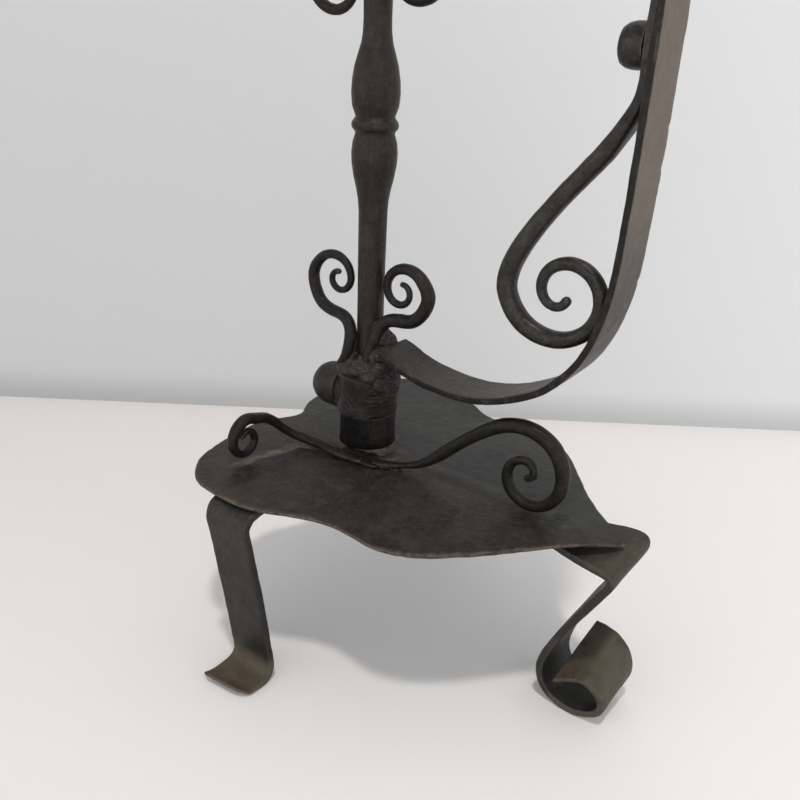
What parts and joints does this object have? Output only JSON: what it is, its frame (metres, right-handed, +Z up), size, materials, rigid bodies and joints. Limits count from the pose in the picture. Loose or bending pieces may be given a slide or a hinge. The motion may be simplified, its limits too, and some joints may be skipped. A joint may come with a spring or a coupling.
{
  "type": "forged iron tripod stand",
  "caption": "Forged iron tripod stand: lobed plate on bent flat-bar legs, turned stem on a clamped swivel hub, bowed flat-bar side arm with a scroll brace, and scrolls on stem and base.",
  "frame": {"origin": "middle of the stand's footprint on the floor (centre of the bounding box's bottom face); the stem axis is at x = -0.058 m, y = 0", "axes": "+Z up along the stem, +X from the stem towards the bowed side arm and the front leg, +Y to the left of +X seen from above"},
  "size_m": [0.2641, 0.2678, 0.4999],
  "materials": {
    "base_plate": "blackened and waxed forged iron, satin, browned by light rust and rubbed paler on edges",
    "leg_front": "blackened and waxed forged iron, satin, browned by light rust and rubbed paler on edges",
    "leg_left": "blackened and waxed forged iron, satin, browned by light rust and rubbed paler on edges",
    "leg_right": "blackened and waxed forged iron, satin, browned by light rust and rubbed paler on edges",
    "rivet_front": "blackened and waxed forged iron, satin, browned by light rust and rubbed paler on edges",
    "rivet_left": "blackened and waxed forged iron, satin, browned by light rust and rubbed paler on edges",
    "rivet_right": "blackened and waxed forged iron, satin, browned by light rust and rubbed paler on edges",
    "pivot_block": "blackened and waxed forged iron, satin, browned by light rust and rubbed paler on edges",
    "tenon_washer": "blackened and waxed forged iron, satin, browned by light rust and rubbed paler on edges",
    "block_fillet": "rough as-deposited weld with rust and scale",
    "base_scroll_front": "blackened and waxed forged iron, satin, browned by light rust and rubbed paler on edges",
    "base_scroll_side": "blackened and waxed forged iron, satin, browned by light rust and rubbed paler on edges",
    "swivel_hub": "blackened and waxed forged iron, satin, browned by light rust and rubbed paler on edges",
    "stem": "blackened and waxed forged iron, satin, browned by light rust and rubbed paler on edges",
    "upper_collar": "blackened and waxed forged iron, satin, browned by light rust and rubbed paler on edges",
    "finial": "blackened and waxed forged iron, satin, browned by light rust and rubbed paler on edges",
    "lower_scroll_left": "blackened and waxed forged iron, satin, browned by light rust and rubbed paler on edges",
    "lower_scroll_right": "blackened and waxed forged iron, satin, browned by light rust and rubbed paler on edges",
    "upper_scroll_left": "blackened and waxed forged iron, satin, browned by light rust and rubbed paler on edges",
    "upper_scroll_right": "blackened and waxed forged iron, satin, browned by light rust and rubbed paler on edges",
    "arm": "blackened and waxed forged iron, satin, browned by light rust and rubbed paler on edges",
    "arm_weld": "rough as-deposited weld with rust and scale",
    "scroll_weld": "rough as-deposited weld with rust and scale",
    "brace_scroll": "blackened and waxed forged iron, satin, browned by light rust and rubbed paler on edges",
    "brace_rivet": "blackened and waxed forged iron, satin, browned by light rust and rubbed paler on edges",
    "clamp_knob": "blackened and waxed forged iron, satin, browned by light rust and rubbed paler on edges",
    "clamp_screw": "blackened and waxed forged iron, satin, browned by light rust and rubbed paler on edges"
  },
  "bodies": {
    "base": {"base_plate": "base_plate", "leg_front": "leg_front", "leg_left": "leg_left", "leg_right": "leg_right", "rivet_front": "rivet_front", "rivet_left": "rivet_left", "rivet_right": "rivet_right", "pivot_block": "pivot_block", "tenon_washer": "tenon_washer", "block_fillet": "block_fillet", "base_scroll_front": "base_scroll_front", "base_scroll_side": "base_scroll_side"},
    "upper": {"swivel_hub": "swivel_hub", "stem": "stem", "upper_collar": "upper_collar", "finial": "finial", "lower_scroll_left": "lower_scroll_left", "lower_scroll_right": "lower_scroll_right", "upper_scroll_left": "upper_scroll_left", "upper_scroll_right": "upper_scroll_right", "arm": "arm", "arm_weld": "arm_weld", "scroll_weld": "scroll_weld", "brace_scroll": "brace_scroll", "brace_rivet": "brace_rivet"},
    "screw": {"clamp_screw": "clamp_screw"},
    "knob": {"clamp_knob": "clamp_knob"}
  },
  "joints": [
    {"name": "stem_swivel", "type": "hinge", "parent": "base", "child": "upper", "pos_m": [-0.058, 0, 0.139], "axis": [0, 0, 1], "continuous": true},
    {"name": "clamp_screw_feed", "type": "slide", "parent": "upper", "child": "screw", "axis": [-1, 0, 0], "range_m": [0, 0.00187]},
    {"name": "clamp_knob_turn", "type": "hinge", "parent": "screw", "child": "knob", "pos_m": [-0.088, 0, 0.148], "axis": [-1, 0, 0], "range_deg": [0, 540]}
  ],
  "couplings": [
    {"joint": "clamp_screw_feed", "follows": "clamp_knob_turn", "m_per_rad": 0.00019894}
  ]
}
